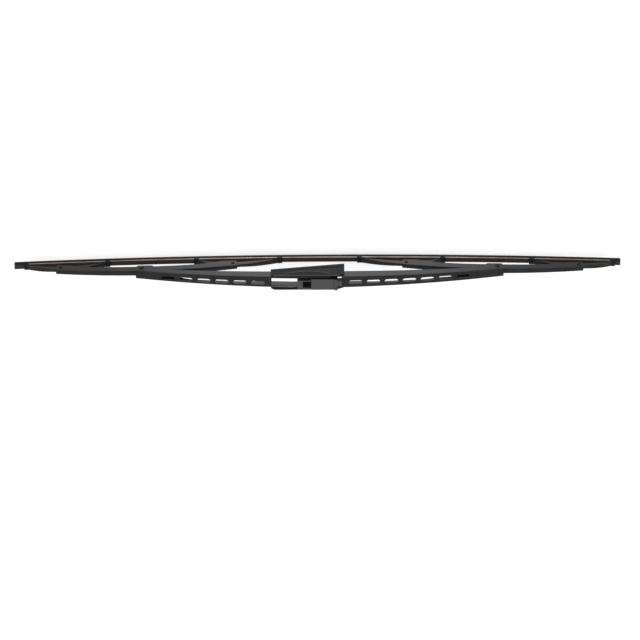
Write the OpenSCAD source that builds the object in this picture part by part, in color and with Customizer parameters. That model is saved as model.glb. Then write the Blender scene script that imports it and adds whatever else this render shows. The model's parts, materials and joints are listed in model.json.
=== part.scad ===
// Conventional wiper blade with a riveted frame: one arched main bridge carries two secondary
// bridges, each of those carries two yokes, and the eight claws of the yokes hold a rubber strip
// that two spring rails stiffen. A moulded adapter on the middle pin takes the arm's hook.
//
// X runs along the blade, +Y is the side with the seen flanges, +Z points away from the glass.
// The origin is the axis of the adapter's pin, in the blade's middle plane. The modules work with
// heights over the tip of the rubber lip in the middle of the blade, and the last step moves them.

/* [Frame spans] */
// Blade middle to the rivet of a secondary bridge
main_half_span = 193.2; // [185:0.1:200]
// Secondary bridge, its rivet to the rivet of the inner yoke
sec_inner_arm = 98.9; // [95:0.1:104]
// Secondary bridge, its rivet to the rivet of the outer yoke
sec_outer_arm = 88.6; // [84:0.1:94]
// Both yokes, rivet to the claw nearer the blade's middle
yoke_long_arm = 50.9; // [46:0.1:52]
// Inner yoke, rivet to its outer claw
inner_yoke_short_arm = 40.1; // [38:0.1:43]
// Outer yoke, rivet to its outer claw
outer_yoke_short_arm = 37.4; // [34:0.1:42]

/* [Main bridge] */
// Height of its back over the lip, in the middle
main_top = 43.5; // [42.5:0.1:45]
// Rivet axis of a secondary bridge over the lip of the strip below it
main_rivet_h = 22.0; // [21.6:0.05:22.4]
// Width over the flanges in the middle
main_w_mid = 17.2; // [16.4:0.1:18.4]
// Width over the flanges at the tips
main_w_tip = 11.6; // [11.5:0.1:12.4]
// Steel sheet
main_sheet = 1.1; // [0.9:0.05:1.2]
// Height of the flanges in the middle
main_flange = 9.3; // [8.6:0.1:10]
// Radius of the lower edge of the flanges, over the radius of the back
main_edge_ratio = 1.5; // [1.25:0.01:1.6]
// Tip, past the rivet
main_tip = 6.5; // [6:0.1:8]
// Rivet axis below the back
main_rivet_drop = 5.5; // [5.3:0.1:5.8]
// Ear, from the rivet axis down to its edge
main_ear = 4; // [3.6:0.1:4.4]
// Flat part of the ear, inwards from the rivet
main_ear_l = 11; // [8:0.5:14]
// Ramp between the flange's edge and the ear
main_ear_ramp = 9; // [6:0.5:14]

/* [Bridge back openings] */
// Opening for the adapter, its end on the arm's side
open_arm_side = 52.2; // [48:0.1:54]
// Opening for the adapter, its other end
open_far_side = 23.8; // [22.5:0.1:28]
// Opening width
open_w = 12.6; // [12.5:0.05:12.8]
// Notches beside the opening, from the pin to their near end
notch_start = 12.5; // [11:0.5:15]
// Depth of those notches below the back
notch_drop = 1.6; // [1.2:0.1:2]
// Wind slots on the arm's side
slots_arm_side = 6; // [4:1:6]
// Wind slots on the other side
slots_far_side = 7; // [5:1:7]
// Web between two slots
slot_gap = 5; // [4:0.1:7]
// Slot width
slot_w = 4.6; // [3.5:0.1:5]
// Gap between the last slot on the far side and the rivet
slot_margin = 30.3; // [28:0.1:36]
// Web between the opening and the first slot
slot_web = 7.6; // [6:0.1:9]

/* [Secondary bridges] */
// Width over the flanges at the rivet of the main bridge
sec_w = 7.6; // [7.4:0.05:7.8]
// Width over the flanges at the yoke rivets
sec_w_end = 6.2; // [6.1:0.05:6.5]
// Steel sheet
sec_sheet = 0.8; // [0.7:0.05:0.85]
// Height of the flanges
sec_flange = 6.8; // [6.5:0.1:7.2]
// Back over the main rivet's axis, at its highest
sec_rise = 2.6; // [2.4:0.05:2.7]
// Back over the inner yoke rivet's axis
sec_over_yoke = 4.3; // [4.1:0.05:4.6]
// Back over the outer yoke rivet's axis
sec_over_outer = 4.7; // [4.5:0.05:4.9]
// End, past the yoke rivets
sec_tip = 4.7; // [4.2:0.1:5.2]
// Ears, from the yoke rivet's axis down to their edge
sec_ear = 3.6; // [3.2:0.1:3.9]
// Flat part of the ears, from the yoke rivet towards the main rivet
sec_ear_l = 10; // [7:0.5:12]
// Ramp between the flange's edge and the inner ear
sec_ear_ramp = 27; // [20:0.5:32]
// Ramp between the flange's edge and the outer ear
sec_outer_ramp = 14; // [10:0.5:20]

/* [Yokes] */
// Width over the flanges at the rivet
yoke_w = 3.9; // [3.7:0.05:4]
// Steel sheet
yoke_sheet = 0.8; // [0.7:0.05:0.85]
// Back over the lip, at the rivet
yoke_top = 16.55; // [16.3:0.05:16.8]
// Rivet axis over the lip
yoke_rivet_h = 14.2; // [14:0.05:14.3]
// Lower edge of the flanges over the lip, at the rivet
yoke_edge_h = 11.5; // [11.1:0.1:11.8]
// Length over which that edge is trimmed flat
yoke_flat = 10; // [6:1:14]
// Depth of that trim
yoke_trim = 0.08; // [0.05:0.01:0.2]
// Back over the lip, at the claws
yoke_claw_top = 9; // [8.9:0.05:9.4]
// Narrow stretch that lies inside the secondary bridge
yoke_hidden = 28; // [26:0.5:30]
// Narrow stretch that sticks out of the secondary bridge
yoke_free = 7; // [6:0.5:10]
// How much lower the back lies from where it widens towards the claw
flare_step = 0.12; // [0.1:0.01:0.2]
// Length of a claw along the strip
claw_l = 5.2; // [4:0.1:7]
// Play between a claw and what it holds
claw_play = 0.12; // [0.08:0.01:0.18]
// Sheet of a claw, thinned by the press
claw_wall = 0.65; // [0.6:0.05:0.8]
// Gap between the two fingers of a claw
claw_gap = 2.6; // [2:0.1:3.2]
// How far the arm of a yoke ends inside the claw's own sheet
claw_lap = 0.2; // [0.1:0.05:0.3]

/* [Rubber strip and rails] */
// Radius to which the rails bow the strip
bow_r = 6330; // [5000:10:9000]
// Strip past the outer claw on the arm's side
strip_over_arm_side = 13.2; // [8:0.1:16]
// Strip past the outer claw on the other side
strip_over_far_side = 8.4; // [6:0.1:14]
// Height of the strip
strip_h = 8; // [7.8:0.05:8.2]
// Width of the head
head_w = 6; // [5.6:0.1:6.2]
// Head above the rails
head_t = 1.2; // [0.9:0.05:1.4]
// Head below the rails
foot_t = 0.75; // [0.6:0.05:0.85]
// Rubber core between the rails
core_w = 1.8; // [1.4:0.1:2.2]
// Neck that lets the lip tip over
neck_w = 1.1; // [0.8:0.1:1.4]
// Height of the neck
neck_h = 1.1; // [1.05:0.05:1.3]
// Width of the shoulders of the lip
shoulder_w = 4.6; // [4:0.1:5]
// Height of the shoulders
shoulder_t = 0.6; // [0.4:0.05:0.8]
// Thickness of the lip
lip_w = 0.8; // [0.6:0.05:1.2]
// Height of the straight part of the lip
lip_h = 1.7; // [1.3:0.1:2.2]
// Rail width
rail_w = 2.35; // [2:0.05:2.5]
// Rail thickness
rail_t = 0.95; // [0.8:0.05:1.05]
// Play of the rails in their grooves
rail_play = 0.03; // [0.02:0.01:0.06]
// Rail shorter than the rubber, at each end
rail_short = 3; // [1:0.5:5]

/* [Rivets] */
// Diameter of the rivets of the main bridge
main_rivet_d = 3.2; // [2.8:0.1:3.4]
// Diameter of their heads
main_head_d = 5.6; // [5:0.1:6]
// Diameter of the yoke rivets
yoke_rivet_d = 2.2; // [2:0.05:2.3]
// Diameter of their heads
yoke_head_d = 4; // [3.6:0.1:4.4]
// Height of all those heads
rivet_head_h = 0.9; // [0.6:0.05:1]
// Play of what turns on a rivet, on its radius
rivet_play = 0.05; // [0.02:0.01:0.08]
// Wall of the liners between main and secondary bridges
liner_t = 0.55; // [0.4:0.05:0.6]
// Length of the liners
liner_l = 14; // [12:0.5:14.5]
// Web of the liners over the secondary bridge
liner_web = 0.35; // [0.3:0.05:0.45]
// Play between a liner and the secondary bridge
liner_play = 0.05; // [0.03:0.01:0.08]

/* [Adapter] */
// Pin diameter
pin_d = 4.6; // [4:0.1:4.8]
// Pin axis below the back of the main bridge
pin_drop = 7; // [6.9:0.1:7.4]
// Diameter of the pin's heads
pin_head_d = 7; // [6:0.1:8]
// Height of the pin's heads
pin_head_h = 0.8; // [0.6:0.05:0.9]
// Boss around the pin
boss_d = 7.2; // [6.8:0.1:7.4]
// Cheek of the main bridge round the pin, its radius
cheek_r = 5.4; // [5:0.1:5.8]
// Ramp of that cheek into the flange
cheek_ramp = 12; // [8:0.5:14]
// Width of the block between the cheeks
block_w = 12; // [11.8:0.1:12.1]
// Wall of the block
block_wall = 1.2; // [1.1:0.05:1.5]
// Block, from the pin to its end on the arm's side
block_arm_side = 24.2; // [23:0.1:26]
// Block, from the pin to its other end
block_far_side = 19.4; // [18.5:0.1:20.5]
// Top of the block over the back of the main bridge
block_proud = 3.1; // [2.9:0.1:3.4]
// Thickness of the top plate
plate_t = 1.6; // [1.2:0.05:1.8]
// Wings of the top plate, their width over all
wing_w = 15.5; // [14.8:0.1:16]
// Thickness of the wings
wing_t = 0.9; // [0.8:0.05:1.1]
// Window for the hook, its near edge from the pin
window_near = 9.2; // [8.5:0.1:10]
// Window for the hook, its far edge from the pin
window_far = 18.4; // [17.5:0.1:19]
// Finger rib at the end of the block, its thickness
rib_t = 3.4; // [2.4:0.1:4]
// Finger rib, its height over the top plate
rib_proud = 1; // [0.5:0.1:1.6]
// Side skirts, their wall
skirt_t = 1.3; // [1.1:0.05:1.5]
// Play between skirts and bridge
skirt_play = 1.1; // [1:0.05:1.3]
// Skirts, from the pin to their end on the arm's side
skirt_arm_side = 53; // [48:0.1:56]
// Skirts, from the pin to their other end
skirt_far_side = 26.7; // [25:0.1:29]
// Lower edge of the skirts over the lip, at the end on the arm's side
skirt_edge_arm = 34; // [33.5:0.1:35]
// Lower edge of the skirts over the lip, at their other end
skirt_edge_far = 25.7; // [25:0.1:26.5]
// Floor that joins the skirts and the block
floor_t = 1.5; // [1.2:0.1:1.8]
// Where the floor starts, from the pin
floor_start = 11; // [10:0.1:12]
// How far the ribs stand out of the skirts
skirt_rib_h = 0.5; // [0.3:0.05:0.8]
// Height of the ribs on the skirts
skirt_rib_w = 1.5; // [1:0.1:2]
// Radius of the upper, curved rib
arch_rib_r = 80; // [70:5:150]
// Length of the curved rib
arch_rib_l = 50; // [40:1:56]

/* [Hidden] */

eps = 0.01;
bend_in = 0.4;    // inner radius of the bends of the sheet
ear_spare = 12;   // flanges are drawn this much too deep and cut to their outline
round_fn = 48;    // small round things
arch_fn = 720;    // arches of the bridges
bow_fn = 2880;    // the strip's very large radius
far = 60;         // reach of cutting shapes across the blade

black_steel = [0.10, 0.10, 0.11];
black_plastic = [0.07, 0.07, 0.075];
rubber_black = [0.05, 0.045, 0.045];
rail_steel = [0.55, 0.53, 0.50];
rivet_steel = [0.22, 0.22, 0.23];

// Places along the blade
x_sec = main_half_span;
x_in = x_sec - sec_inner_arm;
x_out = x_sec + sec_outer_arm;
x_strip_arm_side = -(x_out + outer_yoke_short_arm + strip_over_arm_side);
x_strip_far_side = x_out + outer_yoke_short_arm + strip_over_far_side;

// Heights over the lip in the middle of the blade
function lip_z(x) = bow_r - sqrt(bow_r * bow_r - x * x);
function arch_z(x, top, r) = top - r + sqrt(r * r - x * x);
z_sec = lip_z(x_sec) + main_rivet_h;
main_arch_drop = main_top - z_sec - main_rivet_drop;
main_arch_r = (x_sec * x_sec + main_arch_drop * main_arch_drop) / (2 * main_arch_drop);
main_edge_r = main_arch_r * main_edge_ratio;
function main_back_z(x) = arch_z(x, main_top, main_arch_r);
function main_edge_z(x) = arch_z(x, main_top - main_flange, main_edge_r);
z_in = lip_z(x_in) + yoke_rivet_h;
z_out = lip_z(x_out) + yoke_rivet_h;
pin_z = main_top - pin_drop;

// Main bridge
main_tip_x = x_sec + main_tip;
slot_room = x_sec - slot_margin - open_far_side - slot_web;
slot_l = (slot_room + slot_gap) / slots_far_side - slot_gap;
slot_pitch = slot_l + slot_gap;
main_splay = atan((main_w_mid - main_w_tip) / 2 / main_tip_x);
function main_half_w(x) = main_w_mid / 2 - x * tan(main_splay);

// Secondary bridge: its arch passes a point over each yoke rivet, and its crown stands between them
sec_top = z_sec + sec_rise;
sec_crown_drop = sec_top - z_in - sec_over_yoke;
sec_outer_drop = sec_top - z_out - sec_over_outer;
sec_crown_share = sqrt(sec_crown_drop) / (sqrt(sec_crown_drop) + sqrt(sec_outer_drop));
sec_crown_run = (sec_inner_arm + sec_outer_arm) * sec_crown_share;
sec_crown = sec_crown_run - sec_inner_arm;
sec_arch_r = (sec_crown_run * sec_crown_run + sec_crown_drop * sec_crown_drop) / (2 * sec_crown_drop);
function sec_back_z(x) = arch_z(x - x_sec - sec_crown, sec_top, sec_arch_r);
function sec_edge_z(x) = arch_z(x - x_sec - sec_crown, sec_top - sec_flange, sec_arch_r - sec_flange);
sec_splay_in = atan((sec_w - sec_w_end) / 2 / sec_inner_arm);
sec_splay_out = atan((sec_w - sec_w_end) / 2 / sec_outer_arm);

// Strip section, heights over the lip
foot_z = strip_h - head_t - rail_t - 2 * rail_play - foot_t;
groove_z = foot_z + foot_t;
groove_top_z = strip_h - head_t;
neck_z = foot_z - neck_h;
rail_edge = core_w / 2 + rail_play + rail_w;

// Claws close round the rails and the head
claw_in_w = rail_edge + claw_play;
claw_w = claw_in_w + claw_wall;
claw_top_in = strip_h + claw_play;
finger_top = foot_z - claw_play;
finger_low = neck_z + claw_play;

// Adapter
block_top = main_top + block_proud;
skirt_y = main_w_mid / 2 + skirt_play;
skirt_out = skirt_y + skirt_t;
skirt_top = main_top - 0.5;
skirt_far_slope = 8;
skirt_far_drop = 3.5;
skirt_arm_slope = 4;
skirt_arm_drop = 2.5;
arch_rib_x = -13;
arch_rib_low = pin_z - 0.2;
skirt_open_near = -9;
skirt_open_far = skirt_far_side - 3;
skirt_open_lift = 2.6;
skirt_open_h = 3.4;
block_low = pin_z - boss_d / 2 - 0.7;
skirt_slope = (skirt_edge_far - skirt_edge_arm) / (skirt_arm_side + skirt_far_side);
function skirt_edge_z(x) = skirt_edge_arm + (x + skirt_arm_side) * skirt_slope;

// A place on the strip, its Z across the strip
module on_strip(x)
    translate([x, 0, lip_z(x)]) rotate([0, -asin(x / bow_r), 0]) children();

// A cylinder along Y through the origin
module across(d, l, fn = round_fn)
    rotate([90, 0, 0]) cylinder(d = d, h = l, center = true, $fn = fn);

// A shape drawn in X and Z, given a thickness along Y
module plate(y0, y1)
    translate([0, y1, 0]) rotate([90, 0, 0]) linear_extrude(y1 - y0) children();

// Bent sheet section: distance from the arch's centre in X, width in Y, back at x = r
module bent_sheet(r, half_w, sheet, depth) {
    bend = sheet + bend_in;
    translate([r - sheet, -half_w]) square([sheet, 2 * half_w - bend]);
    translate([r - depth, half_w - sheet]) square([depth - bend, sheet]);
    translate([r - bend, half_w - bend]) intersection() {
        difference() {
            circle(bend, $fn = round_fn);
            circle(bend - sheet, $fn = round_fn);
        }
        square(bend);
    }
}

// One side of an arched channel, from x = 0 to x = reach, its arch's crown at x = crown and z = 0
module channel_side(r, crown, reach, half_w, splay, sheet, depth) {
    run = 3; // spare length at both ends, cut off below
    first = acos((reach + run - crown) / r);
    last = acos((-run - crown) / r);
    intersection() {
        rotate([0, 0, splay]) translate([crown, 0, -r]) rotate([90, 0, 0]) rotate([0, 0, first])
            rotate_extrude(angle = last - first, $fn = arch_fn)
                bent_sheet(r, half_w, sheet, depth);
        translate([0, -far, -far]) cube([reach, far, 2 * far]);
    }
}

module channel_arm(r, crown, reach, half_w, splay, sheet, depth) {
    channel_side(r, crown, reach, half_w, splay, sheet, depth);
    mirror([0, 1, 0]) channel_side(r, crown, reach, half_w, splay, sheet, depth);
}

// Round-ended slot through the back
module slot_cut(x)
    translate([x, 0, main_back_z(x) - far / 2]) {
        for (end = [-1, 1])
            translate([end * (slot_l - slot_w) / 2, 0, 0]) cylinder(d = slot_w, h = far, $fn = round_fn);
        translate([-(slot_l - slot_w) / 2, -slot_w / 2, 0]) cube([slot_l - slot_w, slot_w, far]);
    }

// Side view of one half of the main bridge, down to the edge of its flange and ear
module main_side_2d() {
    ear_x = main_tip_x - main_ear;
    ear_z = z_sec - main_ear;
    ramp_x = x_sec - main_ear_l - main_ear_ramp;
    difference() {
        translate([-eps, 0]) square([main_tip_x + eps, far]);
        translate([0, main_top - main_flange - main_edge_r]) circle(main_edge_r, $fn = arch_fn);
    }
    intersection() {
        polygon([[ramp_x, main_edge_z(ramp_x)], [x_sec - main_ear_l, ear_z], [ear_x, ear_z],
                 [main_tip_x, ear_z + main_ear], [main_tip_x, main_back_z(main_tip_x)],
                 [ramp_x, main_back_z(ramp_x)]]);
        square([main_tip_x, far]);
    }
    translate([ear_x, z_sec]) circle(main_ear, $fn = round_fn);
}

// The flange drops lower round the adapter's pin
module cheek_2d() {
    // the ramps touch the round cheek where its edge stands at the angle of 3, 4 and 5
    side = cheek_r * 0.6;
    low = pin_z - cheek_r * 0.8;
    end = side + cheek_ramp;
    translate([0, pin_z]) circle(cheek_r, $fn = round_fn);
    polygon([[-end, main_edge_z(end)], [-side, low], [side, low], [end, main_edge_z(end)],
             [end, main_top - main_sheet], [-end, main_top - main_sheet]]);
}

module main_half()
    intersection() {
        translate([0, 0, main_top])
            channel_arm(main_arch_r, 0, main_tip_x, main_w_mid / 2, main_splay, main_sheet,
                        main_flange + ear_spare);
        plate(-far, far) {
            main_side_2d();
            cheek_2d();
        }
    }

module main_bridge()
    color(black_steel) difference() {
        union() {
            main_half();
            mirror([1, 0, 0]) main_half();
        }
        translate([-open_arm_side, -open_w / 2, main_top - far / 2])
            cube([open_arm_side + open_far_side, open_w, far]);
        translate([notch_start, -far / 2, main_top - notch_drop])
            cube([open_far_side - notch_start, far, far]);
        for (i = [0 : slots_far_side - 1])
            slot_cut(open_far_side + slot_web + slot_l / 2 + i * slot_pitch);
        for (i = [0 : slots_arm_side - 1])
            slot_cut(-(open_arm_side + slot_web + slot_l / 2 + i * slot_pitch));
        translate([0, 0, pin_z]) across(pin_d + 2 * rivet_play, 2 * far);
        for (side = [-1, 1])
            translate([side * x_sec, 0, z_sec]) across(main_rivet_d + 2 * rivet_play, 2 * far);
    }

// Side view of the right secondary bridge
module sec_side_2d() {
    in_x = x_in - sec_tip;
    out_x = x_out + sec_tip;
    in_foot = z_in - sec_ear;
    out_foot = z_out - sec_ear;
    corner = sec_ear * 0.7;
    in_ramp = x_in + sec_ear_l + sec_ear_ramp;
    out_ramp = x_out - sec_ear_l - sec_outer_ramp;
    top = sec_top + 1;
    difference() {
        translate([in_x, 0]) square([out_x - in_x, top]);
        translate([x_sec + sec_crown, sec_top - sec_arch_r]) circle(sec_arch_r - sec_flange, $fn = arch_fn);
        translate([in_x - 1, 0]) square([sec_ear_l, in_foot]);
    }
    polygon([[in_x, in_foot + corner], [in_x + corner, in_foot], [x_in + sec_ear_l, in_foot],
             [in_ramp, sec_edge_z(in_ramp)], [in_ramp, top], [in_x, top]]);
    translate([in_x + corner, in_foot + corner]) circle(corner, $fn = round_fn);
    polygon([[out_x, out_foot + corner], [out_x - corner, out_foot], [x_out - sec_ear_l, out_foot],
             [out_ramp, sec_edge_z(out_ramp)], [out_ramp, top], [out_x, top]]);
    translate([out_x - corner, out_foot + corner]) circle(corner, $fn = round_fn);
}

// The arm of the right secondary bridge that runs outwards, or inwards if toward is -1
module sec_half(toward, crown, reach, splay)
    intersection() {
        translate([x_sec, 0, sec_top]) mirror([toward < 0 ? 1 : 0, 0, 0])
            channel_arm(sec_arch_r, crown, reach, sec_w / 2, splay, sec_sheet, sec_flange + ear_spare);
        plate(-far, far) sec_side_2d();
    }

module right_secondary()
    difference() {
        union() {
            sec_half(1, sec_crown, sec_outer_arm + sec_tip, sec_splay_out);
            sec_half(-1, -sec_crown, sec_inner_arm + sec_tip, sec_splay_in);
        }
        translate([x_sec, 0, z_sec]) across(main_rivet_d + 2 * rivet_play, 2 * far);
        translate([x_in, 0, z_in]) across(yoke_rivet_d + 2 * rivet_play, 2 * far);
        translate([x_out, 0, z_out]) across(yoke_rivet_d + 2 * rivet_play, 2 * far);
    }

module left_secondary_bridge() color(black_steel) mirror([1, 0, 0]) right_secondary();
module right_secondary_bridge() color(black_steel) right_secondary();

// Outside of a claw, in the strip's own place
module claw_block()
    translate([-claw_l / 2, -claw_w, finger_low]) cube([claw_l, 2 * claw_w, yoke_claw_top - finger_low]);

// What a claw leaves free: the head with the rails, and the gap between its two fingers
module claw_space() {
    translate([-claw_l, -claw_in_w, finger_top]) cube([2 * claw_l, 2 * claw_in_w, claw_top_in - finger_top]);
    translate([-claw_l, -claw_gap / 2, 0]) cube([2 * claw_l, claw_gap, foot_z]);
}

// One arm of a yoke: a narrow stretch, then a stretch that widens to the claw
module yoke_arm(arm, narrow) {
    drop = yoke_top - yoke_claw_top + claw_lap;
    r = (arm * arm + drop * drop) / (2 * drop);
    edge_drop = yoke_edge_h - claw_top_in - claw_lap;
    edge_r = (arm * arm + edge_drop * edge_drop) / (2 * edge_drop);
    flare = atan((claw_w - claw_lap - yoke_w / 2) / (arm - narrow));
    depth = yoke_top - yoke_edge_h + ear_spare;
    intersection() {
        translate([0, 0, yoke_top]) {
            channel_arm(r, 0, narrow, yoke_w / 2, 0, yoke_sheet, depth);
            translate([narrow, 0, -flare_step])
                channel_arm(r, -narrow, arm - narrow, yoke_w / 2, -flare, yoke_sheet, depth);
        }
        plate(-far, far) difference() {
            square([arm, far]);
            translate([0, yoke_edge_h - edge_r]) circle(edge_r, $fn = arch_fn);
        }
    }
}

// A yoke of the right half, its rivet at x, z. The edge of its flanges is trimmed flat at the rivet.
module yoke(x, z, inward, inward_narrow, outward, outward_narrow)
    difference() {
        union() {
            on_strip(x) {
                yoke_arm(outward, outward_narrow);
                mirror([1, 0, 0]) yoke_arm(inward, inward_narrow);
            }
            on_strip(x - inward) claw_block();
            on_strip(x + outward) claw_block();
        }
        on_strip(x - inward) claw_space();
        on_strip(x + outward) claw_space();
        on_strip(x) translate([-yoke_flat / 2, -far / 2, 0]) cube([yoke_flat, far, yoke_edge_h + yoke_trim]);
        translate([x, 0, z]) across(yoke_rivet_d + 2 * rivet_play, 2 * far);
    }

module right_inner() yoke(x_in, z_in, yoke_long_arm, yoke_free, inner_yoke_short_arm, yoke_hidden);
module right_outer() yoke(x_out, z_out, yoke_long_arm, yoke_hidden, outer_yoke_short_arm, yoke_free);
module left_outer_yoke() color(black_steel) mirror([1, 0, 0]) right_outer();
module left_inner_yoke() color(black_steel) mirror([1, 0, 0]) right_inner();
module right_inner_yoke() color(black_steel) right_inner();
module right_outer_yoke() color(black_steel) right_outer();

// A section, drawn with the height over the lip in X, swept along the bowed strip
module along_strip(x0, x1)
    translate([0, 0, bow_r]) rotate([90, 0, 0]) rotate([0, 0, -90 + asin(x0 / bow_r)])
        rotate_extrude(angle = asin(x1 / bow_r) - asin(x0 / bow_r), $fn = bow_fn)
            translate([bow_r, 0]) mirror([1, 0]) children();

module strip_section() {
    corner = 0.4;
    lip_root = lip_w / 2 + 0.15;
    half = [[0, lip_w / 2], [lip_h, lip_root],
            [neck_z - shoulder_t, shoulder_w / 2], [neck_z, shoulder_w / 2],
            [neck_z, neck_w / 2], [foot_z, neck_w / 2],
            [foot_z, head_w / 2], [groove_z, head_w / 2],
            [groove_z, core_w / 2], [groove_top_z, core_w / 2],
            [groove_top_z, head_w / 2], [strip_h - corner, head_w / 2],
            [strip_h, head_w / 2 - corner]];
    last = len(half) - 1;
    polygon(concat(half, [for (i = [0 : last]) [half[last - i].x, -half[last - i].y]]));
}

module rubber_strip()
    color(rubber_black) along_strip(x_strip_arm_side, x_strip_far_side) strip_section();

module rail()
    along_strip(x_strip_arm_side + rail_short, x_strip_far_side - rail_short)
        translate([groove_z + rail_play, -core_w / 2 - rail_play - rail_w]) square([rail_t, rail_w]);

module rail_near_side() color(rail_steel) rail();
module rail_far_side() color(rail_steel) mirror([0, 1, 0]) rail();

// Rivet along Y with two domed heads that start at y = seat on each side
module rivet(d, head_d, head_h, seat) {
    ball_r = (head_d * head_d / 4 + head_h * head_h) / (2 * head_h);
    across(d, 2 * seat + eps);
    for (side = [-1, 1]) intersection() {
        translate([0, side * (seat + head_h - ball_r), 0]) sphere(ball_r, $fn = round_fn);
        translate([0, side * (seat + head_h / 2), 0]) across(head_d, head_h);
    }
}

module bridge_rivet()
    translate([x_sec, 0, z_sec])
        rivet(main_rivet_d, main_head_d, rivet_head_h, main_half_w(x_sec - main_head_d / 2) + eps);
module left_bridge_rivet() color(rivet_steel) mirror([1, 0, 0]) bridge_rivet();
module right_bridge_rivet() color(rivet_steel) bridge_rivet();

module yoke_rivet(x, z, splay)
    translate([x, 0, z])
        rivet(yoke_rivet_d, yoke_head_d, rivet_head_h, sec_w_end / 2 + yoke_head_d / 2 * tan(splay) + eps);
module inner_yoke_rivet() yoke_rivet(x_in, z_in, sec_splay_in);
module outer_yoke_rivet() yoke_rivet(x_out, z_out, sec_splay_out);
module left_outer_yoke_rivet() color(rivet_steel) mirror([1, 0, 0]) outer_yoke_rivet();
module left_inner_yoke_rivet() color(rivet_steel) mirror([1, 0, 0]) inner_yoke_rivet();
module right_inner_yoke_rivet() color(rivet_steel) inner_yoke_rivet();
module right_outer_yoke_rivet() color(rivet_steel) outer_yoke_rivet();

// Everything below a surface that lies a little over the back of the secondary bridge
module over_secondary(rise, half_w)
    translate([x_sec + sec_crown, 0, sec_top - sec_arch_r])
        across(2 * (sec_arch_r + rise), 2 * half_w, arch_fn);

// Plastic liner that clips over the secondary bridge inside the ears of the main bridge
module bridge_liner() {
    set_back = 1;
    lift = 0.4;
    x0 = main_tip_x - set_back - liner_l;
    inside = sec_w / 2 + liner_play;
    outside = inside + liner_t;
    low = z_sec - main_ear + lift;
    difference() {
        intersection() {
            translate([x0, -outside, low]) cube([liner_l, 2 * outside, far]);
            over_secondary(liner_play + liner_web, outside);
        }
        over_secondary(liner_play, inside);
        translate([x_sec, 0, z_sec]) across(main_rivet_d + 2 * rivet_play, far);
    }
}
module left_bridge_liner() color(black_plastic) mirror([1, 0, 0]) bridge_liner();
module right_bridge_liner() color(black_plastic) bridge_liner();

module adapter_pin()
    color(rivet_steel) translate([0, 0, pin_z])
        rivet(pin_d, pin_head_d, pin_head_h, main_w_mid / 2 + eps);

// Skirt outline in X and Z, its upper corners chamfered
module skirt_2d()
    polygon([[-skirt_arm_side, skirt_edge_z(-skirt_arm_side)],
             [skirt_far_side, skirt_edge_z(skirt_far_side)],
             [skirt_far_side, skirt_top - skirt_far_drop],
             [skirt_far_side - skirt_far_slope, skirt_top],
             [-skirt_arm_side + skirt_arm_slope, skirt_top],
             [-skirt_arm_side, skirt_top - skirt_arm_drop]]);

// Opening in the skirt over its lower edge, which narrows towards the arm
module skirt_opening_2d()
    polygon([[skirt_open_near, skirt_edge_z(skirt_open_near) + skirt_open_lift],
             [skirt_open_far, skirt_edge_z(skirt_open_far) + skirt_open_lift],
             [skirt_open_far, skirt_edge_z(skirt_open_far) + skirt_open_lift + skirt_open_h]]);

// Raised rib that hangs over the pin like a bow
module arch_rib_2d()
    intersection() {
        skirt_2d();
        translate([arch_rib_x, arch_rib_low + arch_rib_r]) difference() {
            circle(arch_rib_r, $fn = arch_fn);
            circle(arch_rib_r - skirt_rib_w, $fn = arch_fn);
        }
        translate([arch_rib_x - arch_rib_l / 2, 0]) square([arch_rib_l, far]);
    }

module edge_rib_2d()
    polygon([[-skirt_arm_side, skirt_edge_z(-skirt_arm_side)],
             [skirt_far_side, skirt_edge_z(skirt_far_side)],
             [skirt_far_side, skirt_edge_z(skirt_far_side) + skirt_rib_w],
             [-skirt_arm_side, skirt_edge_z(-skirt_arm_side) + skirt_rib_w]]);

module skirt() {
    plate(skirt_y, skirt_out) difference() {
        skirt_2d();
        skirt_opening_2d();
    }
    plate(skirt_out - eps, skirt_out + skirt_rib_h) {
        arch_rib_2d();
        edge_rib_2d();
    }
}

module block_2d()
    polygon([[-block_arm_side, block_low], [floor_start, block_low],
             [floor_start, skirt_edge_z(floor_start)],
             [block_far_side, skirt_edge_z(block_far_side)],
             [block_far_side, block_top], [-block_arm_side, block_top]]);

// A cross piece of the block, between x0 and x1 and between two heights
module cross_piece(x0, x1, low, high, w = block_w)
    translate([x0, -w / 2, low]) cube([x1 - x0, w, high - low]);

// Floor that joins the skirts, just over their lower edges
module skirt_floor()
    plate(-skirt_y - eps, skirt_y + eps)
        polygon([[floor_start, skirt_edge_z(floor_start)],
                 [block_far_side, skirt_edge_z(block_far_side)],
                 [block_far_side, skirt_edge_z(block_far_side) + floor_t],
                 [floor_start, skirt_edge_z(floor_start) + floor_t]]);

module adapter() {
    half = block_w / 2;
    far_low = skirt_edge_z(block_far_side);
    color(black_plastic) difference() {
        union() {
            for (side = [0, 1]) mirror([0, side, 0]) {
                plate(half - block_wall, half) block_2d();
                // wing of the top plate, between the window and the finger rib
                plate(half - block_wall, wing_w / 2) translate([-window_near, block_top - wing_t])
                    square([window_near + block_far_side, wing_t]);
                skirt();
            }
            // both ends of the window, then the top plate and the finger rib
            cross_piece(-block_arm_side, -block_arm_side + plate_t, pin_z - boss_d / 2, block_top);
            cross_piece(-block_arm_side, -window_far, block_top - plate_t, block_top);
            cross_piece(-window_near, block_far_side, block_top - plate_t, block_top);
            cross_piece(block_far_side - rib_t, block_far_side, far_low, block_top);
            cross_piece(block_far_side - rib_t, block_far_side, block_top - wing_t,
                        block_top + rib_proud, wing_w);
            translate([0, 0, pin_z]) across(boss_d, block_w - eps);
            skirt_floor();
        }
        translate([0, 0, pin_z]) across(pin_d + 2 * rivet_play, block_w + eps);
    }
}

module placed() translate([0, 0, -pin_z]) children();

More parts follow.
